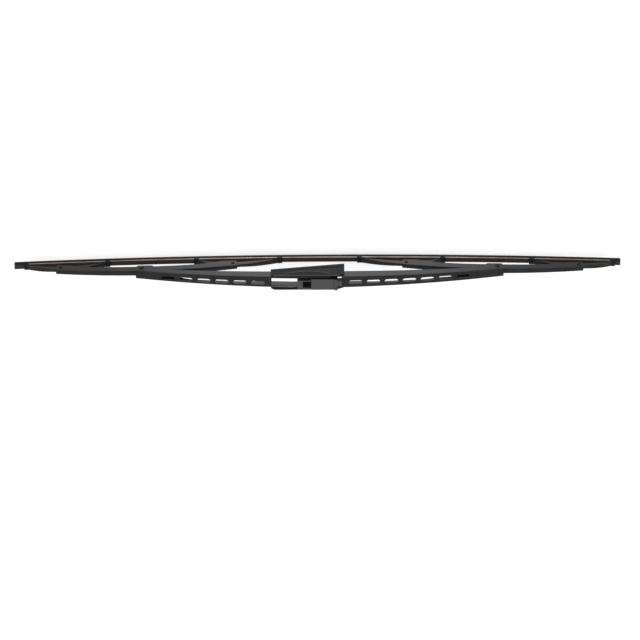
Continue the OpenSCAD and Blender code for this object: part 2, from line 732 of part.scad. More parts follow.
placed() main_bridge();
placed() left_secondary_bridge();
placed() right_secondary_bridge();
placed() left_outer_yoke();
placed() left_inner_yoke();
placed() right_inner_yoke();
placed() right_outer_yoke();
placed() rubber_strip();
placed() rail_near_side();
placed() rail_far_side();
placed() adapter();
placed() adapter_pin();
placed() left_bridge_rivet();
placed() right_bridge_rivet();
placed() left_outer_yoke_rivet();
placed() left_inner_yoke_rivet();
placed() right_inner_yoke_rivet();
placed() right_outer_yoke_rivet();
placed() left_bridge_liner();
placed() right_bridge_liner();
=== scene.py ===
"""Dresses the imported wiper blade: clean bent-sheet bridges and yokes, the bowed rubber strip with its
rails, rivets, the moulded adapter, their finishes, and a plain studio."""

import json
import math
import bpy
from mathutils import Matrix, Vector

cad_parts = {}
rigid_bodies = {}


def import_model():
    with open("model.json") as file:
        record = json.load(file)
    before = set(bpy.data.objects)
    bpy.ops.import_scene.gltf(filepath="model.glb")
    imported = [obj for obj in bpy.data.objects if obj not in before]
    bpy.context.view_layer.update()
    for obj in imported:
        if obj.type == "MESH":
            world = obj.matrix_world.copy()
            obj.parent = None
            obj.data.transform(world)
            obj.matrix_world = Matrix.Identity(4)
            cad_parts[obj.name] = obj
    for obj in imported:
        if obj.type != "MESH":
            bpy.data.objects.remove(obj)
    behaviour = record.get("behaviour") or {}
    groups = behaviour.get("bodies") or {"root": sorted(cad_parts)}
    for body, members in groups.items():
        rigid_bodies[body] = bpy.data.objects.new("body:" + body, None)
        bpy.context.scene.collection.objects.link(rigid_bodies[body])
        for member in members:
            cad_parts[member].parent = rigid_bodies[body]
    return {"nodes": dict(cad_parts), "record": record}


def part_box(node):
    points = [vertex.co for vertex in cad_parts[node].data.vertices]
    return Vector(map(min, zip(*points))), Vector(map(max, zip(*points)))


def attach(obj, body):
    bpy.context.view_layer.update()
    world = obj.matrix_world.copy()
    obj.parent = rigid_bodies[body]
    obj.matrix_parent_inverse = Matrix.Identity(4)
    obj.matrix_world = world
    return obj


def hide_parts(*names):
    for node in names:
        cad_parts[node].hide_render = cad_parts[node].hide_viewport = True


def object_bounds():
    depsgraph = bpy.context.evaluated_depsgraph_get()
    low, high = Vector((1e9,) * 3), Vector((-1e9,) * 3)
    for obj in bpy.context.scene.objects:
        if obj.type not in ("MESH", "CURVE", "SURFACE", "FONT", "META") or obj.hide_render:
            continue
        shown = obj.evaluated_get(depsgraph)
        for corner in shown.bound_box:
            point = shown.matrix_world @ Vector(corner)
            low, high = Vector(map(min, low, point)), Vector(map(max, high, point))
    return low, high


bl_info = {
    "name": "Wiper blade",
    "version": (1, 0, 0),
    "blender": (4, 5, 0),
    "location": "3D View > Sidebar > Wiper blade",
    "description": "Builds the visible pieces of a riveted wiper blade on its packed frame",
    "category": "Object",
}

import bmesh
import bpy
from mathutils import Matrix, Vector

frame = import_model()
cad_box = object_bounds()
MM = 0.001
PIVOTS = {j["name"]: [v / MM for v in j["pos_m"]] for j in frame["record"]["behaviour"]["joints"]}
X_SEC, _, Z_SEC = PIVOTS["right_secondary_pivot"]
X_IN, _, Z_IN = PIVOTS["right_inner_yoke_pivot"]
X_OUT, _, Z_OUT = PIVOTS["right_outer_yoke_pivot"]
STRIP_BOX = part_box("rubber_strip")


class BladeSizes(bpy.types.PropertyGroup):
    """Sizes of the pieces, in metres"""

    edge_round: bpy.props.FloatProperty(
        name="Edge rounding", description="Rounding of the cut edges of the sheet steel",
        default=0.00016, unit="LENGTH")
    moulded_round: bpy.props.FloatProperty(
        name="Moulded rounding", description="Rounding of the edges of the adapter",
        default=0.0003, unit="LENGTH")
    station: bpy.props.FloatProperty(
        name="Station spacing", description="Distance between two cross sections of a bent piece",
        default=0.002, unit="LENGTH")
    bow_radius: bpy.props.FloatProperty(
        name="Bow radius", description="Radius to which the rails bow the strip",
        default=6.33, unit="LENGTH")
    slot_length: bpy.props.FloatProperty(
        name="Slot length", description="Length of a wind slot in the main bridge",
        default=0.0145, unit="LENGTH")
    slot_width: bpy.props.FloatProperty(
        name="Slot width", description="Width of a wind slot in the main bridge",
        default=0.0052, unit="LENGTH")
    slot_aside: bpy.props.FloatProperty(
        name="Slot offset", description="How far the slots stand off the middle, towards the seen flange",
        default=0.0, unit="LENGTH")
    slot_aside_arm: bpy.props.FloatProperty(
        name="Slot offset, arm side", description="The same for the slots on the arm's side of the adapter",
        default=-0.0011, unit="LENGTH")
    slot_pitch: bpy.props.FloatProperty(
        name="Slot spacing", description="Distance from one wind slot to the next",
        default=0.0195, unit="LENGTH")


class BladeColours(bpy.types.PropertyGroup):
    """Colours of the finishes"""

    steel: bpy.props.FloatVectorProperty(
        name="Painted steel", description="Black paint of bridges and yokes",
        subtype="COLOR", size=3, default=(0.014, 0.0145, 0.0155))
    rubber: bpy.props.FloatVectorProperty(
        name="Rubber", description="Rubber of the strip",
        subtype="COLOR", size=3, default=(0.062, 0.049, 0.044))
    rail: bpy.props.FloatVectorProperty(
        name="Rails", description="Bare spring steel of the rails",
        subtype="COLOR", size=3, default=(0.80, 0.745, 0.69))
    plastic: bpy.props.FloatVectorProperty(
        name="Plastic", description="Moulded plastic of adapter and liners",
        subtype="COLOR", size=3, default=(0.014, 0.015, 0.018))
    rivet: bpy.props.FloatVectorProperty(
        name="Rivets", description="Blackened steel of rivets and pin",
        subtype="COLOR", size=3, default=(0.03, 0.03, 0.031))


class StageSettings(bpy.types.PropertyGroup):
    """Camera, lamps, room and floor"""

    lens: bpy.props.FloatProperty(
        name="Lens", description="Focal length of the camera", default=200.0, unit="CAMERA")
    frame_width: bpy.props.FloatProperty(
        name="Frame width", description="Width that the picture shows at the blade",
        default=0.6938, unit="LENGTH")
    elevation: bpy.props.FloatProperty(
        name="Elevation", description="Angle of the camera over the horizontal, behind the blade",
        default=math.radians(45), subtype="ANGLE")
    tilt: bpy.props.FloatProperty(
        name="Tilt", description="Turn of the picture about its middle",
        default=math.radians(-0.37), subtype="ANGLE")
    aim: bpy.props.FloatProperty(
        name="Aim", description="How far the picture's middle lies before and over the pin",
        default=0.03205, unit="LENGTH")
    end_lamp: bpy.props.FloatProperty(
        name="End lamps", description="Power of each of the two lamps beyond the ends of the blade",
        default=8.5, unit="POWER")
    lamp_distance: bpy.props.FloatProperty(
        name="Lamp distance", description="Distance of the lamps from the middle, along the blade",
        default=1.5, unit="LENGTH")
    lamp_height: bpy.props.FloatProperty(
        name="Lamp height", description="Height of the lamps over the pin", default=1.0, unit="LENGTH")
    lamp_aside: bpy.props.FloatProperty(
        name="Lamp offset", description="How far the lamps stand behind the blade", default=0.3, unit="LENGTH")
    lamp_size: bpy.props.FloatProperty(
        name="Lamp size", description="Side of the square lamps", default=0.9, unit="LENGTH")
    world: bpy.props.FloatProperty(
        name="Room ends", description="Brightness of the room beyond the ends of the blade", default=0.7)
    world_dim: bpy.props.FloatProperty(
        name="Room sides", description="Brightness of the room beside and over the blade", default=0.21)
    floor_white: bpy.props.FloatProperty(
        name="Floor white", description="What the floor adds for the camera", default=0.62)
    floor_pool: bpy.props.FloatProperty(
        name="Floor pool", description="What the floor adds in reflections, under the middle of the blade",
        default=0.68)
    floor_tone: bpy.props.FloatProperty(
        name="Floor tone", description="Grey level of the floor", default=0.8)


def sizes():
    return bpy.context.scene.wiper_sizes


# Shapes are worked out in millimetres on the frame's axes. finish_mesh turns them into metres.
PIN_H = 36.5  # pin axis over the lip tip in the blade's middle
MAIN = dict(top=7.0, half_mid=8.6, half_tip=5.8, tip=6.5, sheet=1.1, flange=9.3, rivet_drop=5.5, edge_ratio=1.5,
            ear=4.0, ear_l=11.0, ramp=9.0, cheek=5.4, cheek_ramp=12.0, notch=12.5, notch_drop=1.6)
OPENING = dict(arm_side=52.2, far_side=23.8, width=12.6, web=7.6, corner=1.0)
RELIEF = dict(x=-39.2, length=23.5, y=-6.35, width=1.9)  # cut in the hidden web beside the opening
SLOTS_ARM, SLOTS_FAR = 6, 7
# The hidden flange's edge shows through the slots. On the arm's side and on the other, the spans over which
# it gets shallower, comes back, and gets deeper:
FAR_EDGE = {-1: ((62, 80), (134, 157), (144, 164)), 1: ((40, 58), (112, 135), (138, 158))}
FAR_SHALLOW, FAR_DEEP = 1.5, 2.2
SEC = dict(half=3.8, half_end=3.1, sheet=0.8, flange=6.8, rise=2.6, over_yoke=4.3, over_outer=4.7, tip=4.7,
           ear=3.6, ear_l=10.0, in_ramp=27.0, out_ramp=14.0)
YOKE = dict(half=1.95, sheet=0.8, top=16.55, edge=11.5, claw_top=9.0, hidden=28.0, free=7.0, lap=0.2, step=0.12,
            trim=0.08, flat=10.0)
YOKE_ARMS = {"inner": (50.9, 40.1), "outer": (50.9, 37.4)}
CLAW = dict(length=5.2, inner=3.4, wall=0.65, inner_top=8.12, gap=2.6, foot=5.04, finger=1.1, play=0.12,
            round=0.9, finger_round=0.6, round_in=0.25)
HALF_MEETS = 182.65  # where the lengths of the strip meet, halfway between two claws
RAIL_END = 321.2  # the rails end inside the outermost claws
SKIRT_RECESS = ((-10.5, -4.6), (24.4, -8.6), (24.4, -3.6))  # X and Z, a little past the opening it closes
RECESS_Y = (9.75, 10.35)
BEND_IN = 0.4
BEND_STEPS = 6
SIDES = (("right", False), ("left", True))
MIRROR = Matrix.Scale(-1, 4, (1, 0, 0))


def arch(x, top, radius):
    """Height of an arch at x, its highest point at x = 0."""
    return top - radius + math.sqrt(radius * radius - x * x)


def arch_radius(run, drop):
    """Radius of the arch that is that much lower at run from its highest point."""
    return (run * run + drop * drop) / (2 * drop)


MAIN["arch"] = arch_radius(X_SEC, MAIN["top"] - Z_SEC - MAIN["rivet_drop"])
MAIN["edge"] = MAIN["arch"] * MAIN["edge_ratio"]
IN_DROP = Z_SEC + SEC["rise"] - Z_IN - SEC["over_yoke"]
OUT_DROP = Z_SEC + SEC["rise"] - Z_OUT - SEC["over_outer"]
SEC["run"] = (X_OUT - X_IN) * math.sqrt(IN_DROP) / (math.sqrt(IN_DROP) + math.sqrt(OUT_DROP))
SEC["crown"] = SEC["run"] - (X_SEC - X_IN)
SEC["arch"] = arch_radius(SEC["run"], IN_DROP)
# its ends, where the feet of its flanges end, where the ramps from them end, and the feet's round corners
SEC_ENDS = X_IN - SEC["tip"], X_OUT + SEC["tip"]
SEC_FEET = X_IN + SEC["ear_l"], X_OUT - SEC["ear_l"]
SEC_RAMPS = SEC_FEET[0] + SEC["in_ramp"], SEC_FEET[1] - SEC["out_ramp"]
SEC_CORNER = SEC["ear"] * 0.7


def lip(x):
    """Height of the lip tip over the middle's."""
    bow = sizes().bow_radius / MM
    return bow - math.sqrt(bow * bow - x * x)


def on_strip(x, mirror=False):
    """Matrix of a place on the strip, with X along it and Z up from its lip tip."""
    turn = Matrix.Rotation(-math.asin(x * MM / sizes().bow_radius), 4, "Y")
    place = Matrix.Translation((x, 0, lip(x) - PIN_H)) @ turn
    return MIRROR @ place if mirror else place


def channel_loop(half, back, edge, sheet, far_edge):
    """Outer and inner outline of a bent-sheet channel, each from one flange's edge to the other's."""
    outer_r = sheet + BEND_IN
    outer = [(-half, far_edge)]
    inner = [(-half + sheet, far_edge)]
    for side in (-1, 1):
        steps = range(BEND_STEPS + 1)
        for k in steps if side < 0 else reversed(steps):
            a = math.radians(90) * k / BEND_STEPS
            away, up = math.cos(a), math.sin(a)
            y, z = side * (half - outer_r), back - outer_r
            outer.append((y + side * away * outer_r, z + up * outer_r))
            inner.append((y + side * away * BEND_IN, z + up * BEND_IN))
    outer.append((half, edge))
    inner.append((half - sheet, edge))
    return outer, inner


def add_band(bm, sections, matrix):
    """Adds a closed band of sheet. sections are (x, outer outline, inner outline), the outlines in Y and Z."""
    rings = [[bm.verts.new(matrix @ Vector((x, y, z))) for y, z in outer + inner[::-1]]
             for x, outer, inner in sections]
    count = len(rings[0])
    for a, b in zip(rings, rings[1:]):
        for k in range(count):
            m = (k + 1) % count
            bm.faces.new((a[k], a[m], b[m], b[k]))
    for ring in (rings[0], rings[-1]):
        for k in range(count // 2 - 1):
            bm.faces.new((ring[k], ring[k + 1], ring[count - 2 - k], ring[count - 1 - k]))


def add_channel(bm, stations, sheet, matrix=Matrix()):
    """Adds a bent-sheet channel. stations are (x, half width, back, edge, other edge if it differs)."""
    add_band(bm, [(x, *channel_loop(half, back, edge, sheet, far_edge[0] if far_edge else edge))
                  for x, half, back, edge, *far_edge in stations], matrix)


def samples(start, end, marks, step):
    """Stations between start and end: every mark, and no gap wider than step."""
    keys = sorted({round(v, 4) for v in [start, end, *marks] if start <= v <= end})
    out = [keys[0]]
    for a, b in zip(keys, keys[1:]):
        n = max(1, math.ceil((b - a) / step))
        out += [a + (b - a) * k / n for k in range(1, n + 1)]
    return out


def curve_marks(centre, radius, steps=8):
    """Stations that follow a round corner of that radius on both sides of centre."""
    return [centre + s * radius * math.sin(math.radians(90) * k / steps) for k in range(steps + 1) for s in (-1, 1)]


def face_outward(bm):
    """Turns every closed shell so that its faces point outward."""
    bmesh.ops.recalc_face_normals(bm, faces=bm.faces)
    left = set(bm.faces)
    while left:
        shell, todo = set(), [left.pop()]
        while todo:
            face = todo.pop()
            shell.add(face)
            near = {f for e in face.edges for f in e.link_faces} & left
            left -= near
            todo += near
        volume = 0.0
        for face in shell:
            corners = [v.co for v in face.verts]
            for b, c in zip(corners[1:], corners[2:]):
                volume += corners[0].dot(b.cross(c))
        if volume < 0:
            bmesh.ops.reverse_faces(bm, faces=list(shell))


def fill_mesh(bm, mesh, scale=1.0, smooth=35):
    """Fills the mesh from bm, faces outward, smooth below that angle."""
    face_outward(bm)
    bm.to_mesh(mesh)
    bm.free()
    mesh.transform(Matrix.Scale(scale, 4))
    mesh.set_sharp_from_angle(angle=math.radians(smooth))
    for p in mesh.polygons:
        p.use_smooth = True


def new_object(name, data):
    obj = bpy.data.objects.new(name, data)
    bpy.context.scene.collection.objects.link(obj)
    return obj


def finish_mesh(bm, name, finish, scale=MM):
    """A mesh object in metres at the origin, with that finish."""
    mesh = bpy.data.meshes.new(name)
    fill_mesh(bm, mesh, scale)
    mesh.materials.append(finish_for(finish))
    return new_object(name, mesh)


def round_edges(obj, width):
    """Rounds the sharp edges of a piece and keeps its large faces flat."""
    bevel = obj.modifiers.new("Rounded edges", "BEVEL")
    bevel.width, bevel.segments = width, 2
    bevel.limit_method, bevel.angle_limit = "ANGLE", math.radians(40)
    bevel.miter_outer = "MITER_ARC"
    bevel.harden_normals = True


def box_cutter(name, size, centre, corner=0.0):
    """A box to cut sheet steel with, its upright edges rounded to that radius."""
    bm = bmesh.new()
    bmesh.ops.create_cube(bm, size=1)
    bmesh.ops.scale(bm, verts=bm.verts, vec=size)
    bmesh.ops.translate(bm, verts=bm.verts, vec=centre)
    if corner:
        upright = [e for e in bm.edges if abs((e.verts[0].co - e.verts[1].co).z) > 1]
        bmesh.ops.bevel(bm, geom=upright, offset=corner, segments=5, affect="EDGES", profile=0.5)
    return finish_mesh(bm, name, "steel")


def apply_modifiers(obj):
    """Turns the evaluated result of a piece into its plain mesh."""
    graph = bpy.context.evaluated_depsgraph_get()
    mesh = bpy.data.meshes.new_from_object(obj.evaluated_get(graph), depsgraph=graph)
    obj.modifiers.clear()
    old = obj.data
    obj.data = mesh
    mesh.name = obj.name
    if old.users == 0:
        bpy.data.meshes.remove(old)


def dress(obj, body, slot, *nodes):
    """The piece rides on its body and stands for these CAD nodes, which it hides; slot is not used."""
    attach(obj, body)
    if nodes:
        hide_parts(*nodes)


class Tree:
    """A node tree under construction. A value is a number, a tuple, or a socket to link."""

    def __init__(self, tree):
        self.tree = tree

    def node(self, kind, values=(), **settings):
        """A node with these settings; values go to its inputs, by name or number."""
        node = self.tree.nodes.new(kind)
        for key, value in settings.items():
            setattr(node, key, value)
        for key, value in dict(values).items():
            self.put(value, node.inputs[key])
        return node

    def put(self, value, socket):
        if isinstance(value, bpy.types.NodeSocket):
            self.tree.links.new(value, socket)
        else:
            socket.default_value = value

    def math(self, operation, *values):
        return self.node("ShaderNodeMath", enumerate(values), operation=operation).outputs[0]

    def ramp(self, value, low, high, start=0.35, end=0.65, kind="LINEAR"):
        """value between start and end, turned into low to high."""
        values = {"From Min": start, "From Max": end, "To Min": low, "To Max": high, "Value": value}
        return self.node("ShaderNodeMapRange", values, interpolation_type=kind).outputs["Result"]

    def split(self, vector):
        """The X, Y and Z sockets of a vector."""
        return self.node("ShaderNodeSeparateXYZ", {0: vector}).outputs


class Shade(Tree):
    """A material under construction, on Object coordinates."""

    def __init__(self, name):
        self.material = bpy.data.materials.new(name)
        self.material.use_nodes = True
        super().__init__(self.material.node_tree)
        self.shader = self.tree.nodes["Principled BSDF"]
        self.coordinates = self.node("ShaderNodeTexCoord")
        self.place = self.split(self.coordinates.outputs["Object"])

    def noise(self, scale, detail=3.0, stretch=(1, 1, 1), rough=0.5):
        """Noise with that many cells a metre, stretched along the axes."""
        mapping = self.node("ShaderNodeMapping", {"Scale": stretch, "Vector": self.coordinates.outputs["Object"]})
        values = {"Scale": scale, "Detail": detail, "Roughness": rough, "Vector": mapping.outputs["Vector"]}
        return self.node("ShaderNodeTexNoise", values).outputs["Fac"]

    def over_lip(self):
        """Height over the lip, which follows the bow of the strip."""
        square = self.math("MULTIPLY", self.place["X"], self.place["X"])
        bow = self.math("MULTIPLY", square, 0.5 / sizes().bow_radius)
        return self.math("SUBTRACT", self.math("ADD", self.place["Z"], PIN_H * MM), bow)

    def mix(self, factor, a, b):
        """Colour between a and b."""
        a, b = ((*c, 1.0) if isinstance(c, tuple) else c for c in (a, b))
        return self.node("ShaderNodeMix", {"Factor": factor, 6: a, 7: b}, data_type="RGBA").outputs[2]

    def bump(self, height, strength, depth, under=None):
        values = {"Strength": strength, "Distance": depth, "Height": height}
        if under is not None:
            values["Normal"] = under
        return self.node("ShaderNodeBump", values).outputs["Normal"]

    def set(self, **inputs):
        for key, value in inputs.items():
            self.put(value, self.shader.inputs[key.replace("_", " ").title().replace("Ior", "IOR")])
        return self.material


def tone(colour, factor):
    return tuple(min(1.0, c * factor) for c in colour)


def painted_steel(name, colour):
    """Satin black paint with orange peel, handling marks and dust, dull where water dries by the rubber."""
    s = Shade(name)
    dull = s.ramp(s.over_lip(), 1, 0, 9.0 * MM, 11.2 * MM)
    patches = s.noise(45, 4)
    cells = s.noise(420, 2)
    peel = s.noise(1500, 2)
    scuffs = s.noise(260, 5, stretch=(0.12, 1, 1), rough=0.7)
    clean = s.mix(s.ramp(cells, 0, 1), tone(colour, 0.85), tone(colour, 1.15))
    dusty = s.mix(s.ramp(patches, 0, 0.35), clean, (0.034, 0.031, 0.029))
    worn = s.mix(s.ramp(scuffs, 0, 0.5, 0.66, 0.8), dusty, (0.06, 0.06, 0.06))
    rough = s.math("ADD", s.ramp(patches, 0.22, 0.31, 0.3, 0.7), s.math("MULTIPLY", dull, 0.2))
    normal = s.bump(peel, 0.10, 0.0001, s.bump(scuffs, 0.08, 0.00005))
    return s.set(base_color=worn, roughness=rough, specular_ior_level=s.ramp(dull, 1.0, 0.3, 0, 1), normal=normal)


def extruded_rubber(name, colour):
    """Matt rubber with the fine lines of its extrusion, pale talc in patches, and painted shade that makes the lip
    darker than the head.
    """
    s = Shade(name)
    lines = s.noise(900, 3, stretch=(0.02, 1, 1))
    talc = s.noise(70, 4, stretch=(0.4, 1, 1))
    pores = s.noise(2500, 2)
    body = s.mix(s.ramp(lines, 0, 1), tone(colour, 0.8), tone(colour, 1.25))
    # painted shade: below about 4 mm over its tip, the lip is painted darker than the head
    body = s.mix(s.ramp(s.over_lip(), 1, 0, 3.4 * MM, 4.6 * MM), body, tone(colour, 0.4))
    dusty = s.mix(s.ramp(talc, 0, 0.2, 0.5, 0.8), body, (0.07, 0.06, 0.054))
    normal = s.bump(pores, 0.15, 0.00008, s.bump(lines, 0.25, 0.00008))
    return s.set(base_color=dusty, roughness=s.ramp(talc, 0.52, 0.70), specular_ior_level=0.25, normal=normal)


def spring_steel(name, colour):
    """Bare strip steel, drawn along its length, slightly stained."""
    s = Shade(name)
    drawn = s.noise(1600, 2, stretch=(0.015, 1, 1))
    stain = s.noise(110, 4, stretch=(0.5, 1, 1))
    bright = s.mix(s.ramp(drawn, 0, 1), tone(colour, 0.85), tone(colour, 1.1))
    stained = s.mix(s.ramp(stain, 0, 0.5, 0.45, 0.7), bright, (0.22, 0.18, 0.15))
    return s.set(base_color=stained, metallic=0.9, roughness=s.ramp(drawn, 0.34, 0.5),
                 normal=s.bump(drawn, 0.2, 0.00004))


def moulded_plastic(name, colour):
    """Moulded plastic with eroded grain and flow marks, lighter on faces that point up, with a painted highlight on
    its ribs and painted shade in the hollow of its block.
    """
    s = Shade(name)
    grain = s.noise(2600, 2)
    flow = s.noise(75, 3, stretch=(1, 0.5, 1))
    marks = s.noise(500, 5, stretch=(0.2, 1, 0.4), rough=0.65)
    body = s.mix(s.ramp(flow, 0, 1), tone(colour, 0.85), tone(colour, 1.2))
    handled = s.mix(s.ramp(marks, 0, 0.3, 0.62, 0.8), body, (0.045, 0.047, 0.05))
    # faces that point up along Z are lighter
    facing = s.split(s.coordinates.outputs["Normal"])
    dusty = s.mix(s.ramp(facing["Z"], 0, 0.85, 0.75, 0.98), handled, (0.15, 0.15, 0.15))
    # painted highlight: the ribs, which stand out of the skirts, are painted lighter
    aside = s.math("ABSOLUTE", s.place["Y"])
    rubs_and_painted_highlight = s.mix(s.ramp(aside, 0, 0.8, 11.12 * MM, 11.4 * MM), dusty, (0.085, 0.085, 0.09))
    # painted shade: the hollow of the block lies between its walls, under its plate, and is painted near black with
    # weaker reflections
    between = s.ramp(aside, 1, 0, 4.8 * MM, 4.9 * MM)
    inside = s.math("MULTIPLY", between, s.ramp(s.place["Z"], 1, 0, 8.2 * MM, 8.4 * MM))
    painted_hollow_shade = s.mix(inside, rubs_and_painted_highlight, (0.003, 0.003, 0.003))
    return s.set(base_color=painted_hollow_shade, roughness=s.ramp(flow, 0.40, 0.52),
                 specular_ior_level=s.ramp(inside, 0.3, 0.06, 0, 1), normal=s.bump(grain, 0.22, 0.00008))


def blackened_steel(name, colour):
    """Oil-blackened rivet steel with bright rubs on it."""
    s = Shade(name)
    rubs = s.noise(700, 4, rough=0.6)
    patches = s.noise(260, 3)
    body = s.mix(s.ramp(patches, 0, 1), tone(colour, 0.75), tone(colour, 1.25))
    rubs_and_painted_highlight = s.mix(s.ramp(rubs, 0, 0.6, 0.6, 0.75), body, (0.18, 0.175, 0.17))
    return s.set(base_color=rubs_and_painted_highlight, metallic=0.7, roughness=s.ramp(patches, 0.34, 0.5),
                 normal=s.bump(rubs, 0.12, 0.00006))


FINISHES = {
    "steel": ("Painted steel", painted_steel, "steel", 1.0),
    "rubber": ("Extruded rubber", extruded_rubber, "rubber", 1.0),
    "rail": ("Spring steel", spring_steel, "rail", 1.0),
    "plastic": ("Moulded plastic", moulded_plastic, "plastic", 1.0),
    "rivet": ("Blackened steel", blackened_steel, "rivet", 1.0),
    "liner": ("Liner nylon", moulded_plastic, "plastic", 1.1),
}


def finish_for(kind):
    """The material of that kind, made once."""
    name, make, colour, factor = FINISHES[kind]
    if name not in bpy.data.materials:
        make(name, tone(getattr(bpy.context.scene.wiper_colours, colour), factor))
    return bpy.data.materials[name]


class ShapeTree(Tree):
    """A Geometry Nodes tree under construction, with named inputs."""

    def __init__(self, name, inputs):
        super().__init__(bpy.data.node_groups.new(name, "GeometryNodeTree"))
        face = self.tree.interface
        self.ids = {}
        for label, kind, value in (("Material", "Material", None), *inputs):
            socket = face.new_socket(label, in_out="INPUT", socket_type="NodeSocket" + kind)
            if value is not None:
                socket.default_value = value
            self.ids[label] = socket.identifier
        face.new_socket("Geometry", in_out="OUTPUT", socket_type="NodeSocketGeometry")
        self.given = self.node("NodeGroupInput").outputs
        self.out = self.node("NodeGroupOutput")

    def end(self, geometry):
        """Realize Instances and Set Material, then the output."""
        real = self.node("GeometryNodeRealizeInstances", {"Geometry": geometry})
        values = {"Geometry": real.outputs[0], "Material": self.given["Material"]}
        self.put(self.node("GeometryNodeSetMaterial", values).outputs[0], self.out.inputs[0])
        return self

    def make(self, name, smooth=35, **given):
        """The tree's result with these inputs, as an object with a plain mesh, smooth below that angle."""
        obj = new_object(name, bpy.data.meshes.new(name))
        modifier = obj.modifiers.new(name, "NODES")
        modifier.node_group = self.tree
        for label, value in given.items():
            modifier[self.ids[label.replace("_", " ")]] = value
        apply_modifiers(obj)
        bm = bmesh.new()
        bm.from_mesh(obj.data)
        fill_mesh(bm, obj.data, smooth=smooth)
        return obj


def slot_tree():
    """Cutters for a row of wind slots, upright and round-ended, along X."""
    t = ShapeTree("Wind slots", [("First", "Float", 0.1), ("Count", "Int", 7), ("Aside", "Float", 0.0),
                                 ("Pitch", "Float", 0.0195), ("Length", "Float", 0.0145),
                                 ("Width", "Float", 0.0052), ("Depth", "Float", 0.03)])
    g = t.given
    straight = t.math("SUBTRACT", g["Length"], g["Width"])
    radius = t.math("MULTIPLY", g["Width"], 0.5)
    end = t.node("GeometryNodeMeshCylinder", {"Radius": radius, "Depth": g["Depth"], "Vertices": 48})
    half = t.math("MULTIPLY", straight, 0.5)
    # one cylinder, pulled apart in the middle
    where = t.split(t.node("GeometryNodeInputPosition").outputs[0])
    side = t.math("SIGN", t.math("ADD", where["X"], 1e-6))
    offset = t.node("ShaderNodeCombineXYZ", {"X": t.math("MULTIPLY", side, half)})
    moved = t.node("GeometryNodeSetPosition", {"Geometry": end.outputs["Mesh"], "Offset": offset.outputs[0]})
    first = t.node("ShaderNodeCombineXYZ", {"X": g["First"], "Y": g["Aside"]})
    pitch = t.node("ShaderNodeCombineXYZ", {"X": g["Pitch"]})
    line = t.node("GeometryNodeMeshLine",
                 {"Count": g["Count"], "Start Location": first.outputs[0], "Offset": pitch.outputs[0]})
    row = t.node("GeometryNodeInstanceOnPoints", {"Points": line.outputs[0], "Instance": moved.outputs[0]})
    return t.end(row.outputs[0])


def sweep_tree():
    """A closed section, drawn in a mesh object, swept along the bow of the strip."""
    t = ShapeTree("Swept along the bow", [("Section", "Object", None), ("From", "Float", 0.0), ("To", "Float", 0.1),
                                          ("Bow radius", "Float", 6.33), ("Stations", "Int", 60),
                                          ("Drop", "Float", 0.0365)])
    g = t.given
    line = t.node("GeometryNodeMeshLine", {"Count": g["Stations"]})
    index = t.node("GeometryNodeInputIndex")
    share = t.math("DIVIDE", index.outputs[0], t.math("SUBTRACT", g["Stations"], 1))
    x = t.math("ADD", g["From"], t.math("MULTIPLY", share, t.math("SUBTRACT", g["To"], g["From"])))
    bow = g["Bow radius"]
    root = t.math("SQRT", t.math("SUBTRACT", t.math("MULTIPLY", bow, bow), t.math("MULTIPLY", x, x)))
    z = t.math("SUBTRACT", t.math("SUBTRACT", bow, root), g["Drop"])
    place = t.node("ShaderNodeCombineXYZ", {"X": x, "Z": z})
    path = t.node("GeometryNodeSetPosition", {"Geometry": line.outputs[0], "Position": place.outputs[0]})
    curve = t.node("GeometryNodeMeshToCurve", {"Mesh": path.outputs[0]})
    upright = t.node("GeometryNodeSetCurveNormal", {"Curve": curve.outputs[0]}, mode="Z_UP")
    drawn = t.node("GeometryNodeObjectInfo", {"Object": g["Section"]})
    outline = t.node("GeometryNodeMeshToCurve", {"Mesh": drawn.outputs["Geometry"]})
    swept = t.node("GeometryNodeCurveToMesh", {"Curve": upright.outputs[0], "Profile Curve": outline.outputs[0],
                                               "Fill Caps": True})
    return t.end(swept.outputs[0])


